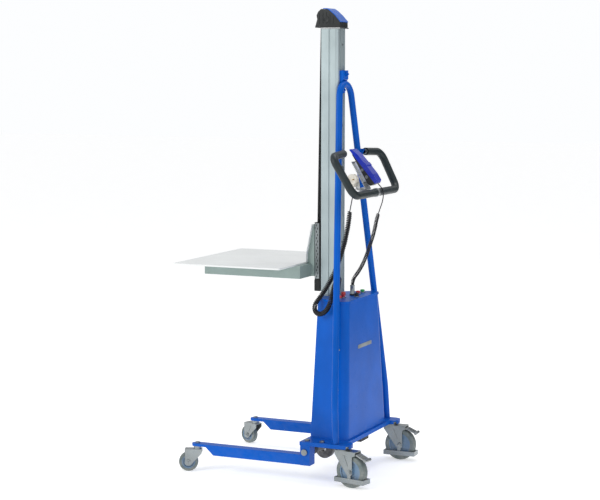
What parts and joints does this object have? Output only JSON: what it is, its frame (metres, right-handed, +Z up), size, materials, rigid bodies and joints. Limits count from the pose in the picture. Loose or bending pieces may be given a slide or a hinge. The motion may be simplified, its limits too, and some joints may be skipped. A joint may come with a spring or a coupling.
{
  "type": "walkie stacker",
  "caption": "Light pedestrian stacker with a belt-lift mast, front platform, A-frame with looped handle, battery cabinet, handset and swivel castors.",
  "frame": {"origin": "middle of the machine's footprint, on the floor", "axes": "+Z up; the platform faces -Y, the operator stands at +Y, and +X is the side of the lift motor"},
  "size_m": [0.6, 0.8095, 1.799],
  "materials": {
    "blue_paint": "gloss",
    "zinc": "satin",
    "pedal_steel": "satin",
    "grey_tread": "matte",
    "hub_plastic": "satin",
    "mast_aluminium": "satin",
    "roller_steel": "satin",
    "cap_plastic": "satin",
    "cap_blue": "gloss",
    "belt": "matte",
    "motor_paint": "satin",
    "glide_plastic": "matte",
    "tray_paint": "satin",
    "white_paint": "satin",
    "battery_case": "matte",
    "red_plastic": "gloss",
    "green_plastic": "gloss",
    "dark_plastic": "satin",
    "grip_rubber": "satin",
    "holder_silver": "satin",
    "handset_blue": "gloss",
    "button_plastic": "satin",
    "plug_plastic": "gloss",
    "cord_rubber": "satin"
  },
  "bodies": {
    "chassis": {"base_plate": "blue_paint", "left_leg": "blue_paint", "right_leg": "blue_paint", "a_frame_tube": "blue_paint", "frame_bracket": "blue_paint", "front_housing": "blue_paint", "control_box": "blue_paint", "control_lid": "blue_paint", "handle_clamps": "blue_paint", "base_bolts": "zinc", "castor_bearings": "zinc", "cover_screws": "zinc", "handle_bar": "zinc", "button_collars": "zinc", "mast_profile": "mast_aluminium", "mast_top_plate": "roller_steel", "cap_shell": "cap_plastic", "cap_roof": "cap_blue", "belt_back_run": "belt", "belt_front_run": "belt", "lift_gearmotor": "motor_paint", "charger_housing": "motor_paint", "batteries": "battery_case", "cable_glands": "dark_plastic", "handset_face": "dark_plastic", "handle_grip": "grip_rubber", "handset_holder": "holder_silver", "handset_shell": "handset_blue", "charger_plug": "plug_plastic", "handset_cord": "cord_rubber", "handset_coil": "cord_rubber", "charger_cord": "cord_rubber", "charger_coil": "cord_rubber"},
    "carriage": {"carriage_frame": "cap_plastic", "carriage_glides": "glide_plastic", "platform_tray": "tray_paint", "platform_plate": "white_paint", "backrest": "white_paint"},
    "top_pulley": {"top_pulley": "roller_steel"},
    "winding_drum": {"winding_drum": "roller_steel"},
    "stop_button": {"stop_button": "red_plastic"},
    "selector_knob": {"selector_knob": "dark_plastic"},
    "red_button": {"red_button": "red_plastic"},
    "green_button": {"green_button": "green_plastic"},
    "up_button": {"up_button": "button_plastic"},
    "down_button": {"down_button": "button_plastic"},
    "front_left_fork": {"front_left_fork": "zinc"},
    "front_left_wheel": {"front_left_tyre": "grey_tread", "front_left_hub": "hub_plastic"},
    "front_right_fork": {"front_right_fork": "zinc"},
    "front_right_wheel": {"front_right_tyre": "grey_tread", "front_right_hub": "hub_plastic"},
    "rear_left_fork": {"rear_left_fork": "zinc"},
    "rear_left_wheel": {"rear_left_tyre": "grey_tread", "rear_left_hub": "hub_plastic"},
    "rear_left_brake_pedal": {"rear_left_brake_pedal": "pedal_steel"},
    "rear_right_fork": {"rear_right_fork": "zinc"},
    "rear_right_wheel": {"rear_right_tyre": "grey_tread", "rear_right_hub": "hub_plastic"},
    "rear_right_brake_pedal": {"rear_right_brake_pedal": "pedal_steel"}
  },
  "joints": [
    {"name": "lift", "type": "slide", "parent": "chassis", "child": "carriage", "axis": [0, 0, 1], "range_m": [-0.59, 0.68], "deforming": ["belt_front_run"]},
    {"name": "top_pulley_spin", "type": "hinge", "parent": "chassis", "child": "top_pulley", "pos_m": [0, 0.1304, 1.756], "axis": [1, 0, 0], "range_deg": [-1460, 1300]},
    {"name": "drum_spin", "type": "hinge", "parent": "chassis", "child": "winding_drum", "pos_m": [0, 0.1314, 0.085], "axis": [1, 0, 0], "range_deg": [-1520, 1330]},
    {"name": "stop_press", "type": "slide", "parent": "chassis", "child": "stop_button", "axis": [0, 0, -1], "range_m": [0, 0.005]},
    {"name": "selector_turn", "type": "hinge", "parent": "chassis", "child": "selector_knob", "pos_m": [0.014, 0.2504, 0.7], "axis": [0, 0, 1], "range_deg": [0, 90]},
    {"name": "red_press", "type": "slide", "parent": "chassis", "child": "red_button", "axis": [0, 0, -1], "range_m": [0, 0.003], "stiffness_N_per_m": 400, "springref_m": -0.002},
    {"name": "green_press", "type": "slide", "parent": "chassis", "child": "green_button", "axis": [0, 0, -1], "range_m": [0, 0.003], "stiffness_N_per_m": 400, "springref_m": -0.002},
    {"name": "up_press", "type": "slide", "parent": "chassis", "child": "up_button", "axis": [-1, 0, 0], "range_m": [0, 0.002], "stiffness_N_per_m": 400, "springref_m": -0.002},
    {"name": "down_press", "type": "slide", "parent": "chassis", "child": "down_button", "axis": [-1, 0, 0], "range_m": [0, 0.002], "stiffness_N_per_m": 400, "springref_m": -0.002},
    {"name": "front_left_swivel", "type": "hinge", "parent": "chassis", "child": "front_left_fork", "pos_m": [0.26, -0.3196, 0], "axis": [0, 0, 1], "continuous": true},
    {"name": "front_left_roll", "type": "hinge", "parent": "front_left_fork", "child": "front_left_wheel", "pos_m": [0.27407, -0.35274, 0.0375], "axis": [-0.9205, -0.3907, 0], "continuous": true},
    {"name": "front_right_swivel", "type": "hinge", "parent": "chassis", "child": "front_right_fork", "pos_m": [-0.26, -0.3196, 0], "axis": [0, 0, 1], "continuous": true},
    {"name": "front_right_roll", "type": "hinge", "parent": "front_right_fork", "child": "front_right_wheel", "pos_m": [-0.27053, -0.35403, 0.0375], "axis": [-0.9563, 0.2924, 0], "continuous": true},
    {"name": "rear_left_swivel", "type": "hinge", "parent": "chassis", "child": "rear_left_fork", "pos_m": [0.25, 0.2954, 0], "axis": [0, 0, 1], "continuous": true},
    {"name": "rear_left_roll", "type": "hinge", "parent": "rear_left_fork", "child": "rear_left_wheel", "pos_m": [0.25763, 0.33466, 0.0625], "axis": [0.9816, -0.1908, 0], "continuous": true},
    {"name": "rear_left_brake", "type": "hinge", "parent": "rear_left_fork", "child": "rear_left_brake_pedal", "pos_m": [0.26145, 0.3543, 0.13], "axis": [0.9816, -0.1908, 0], "range_deg": [-12, 0]},
    {"name": "rear_right_swivel", "type": "hinge", "parent": "chassis", "child": "rear_right_fork", "pos_m": [-0.25, 0.2954, 0], "axis": [0, 0, 1], "continuous": true},
    {"name": "rear_right_roll", "type": "hinge", "parent": "rear_right_fork", "child": "rear_right_wheel", "pos_m": [-0.2514, 0.33538, 0.0625], "axis": [0.9994, 0.0349, 0], "continuous": true},
    {"name": "rear_right_brake", "type": "hinge", "parent": "rear_right_fork", "child": "rear_right_brake_pedal", "pos_m": [-0.25209, 0.35536, 0.13], "axis": [0.9994, 0.0349, 0], "range_deg": [-12, 0]}
  ],
  "couplings": [
    {"joint": "top_pulley_spin", "follows": "lift", "rad_per_m": -37.313},
    {"joint": "drum_spin", "follows": "lift", "rad_per_m": -38.76}
  ]
}
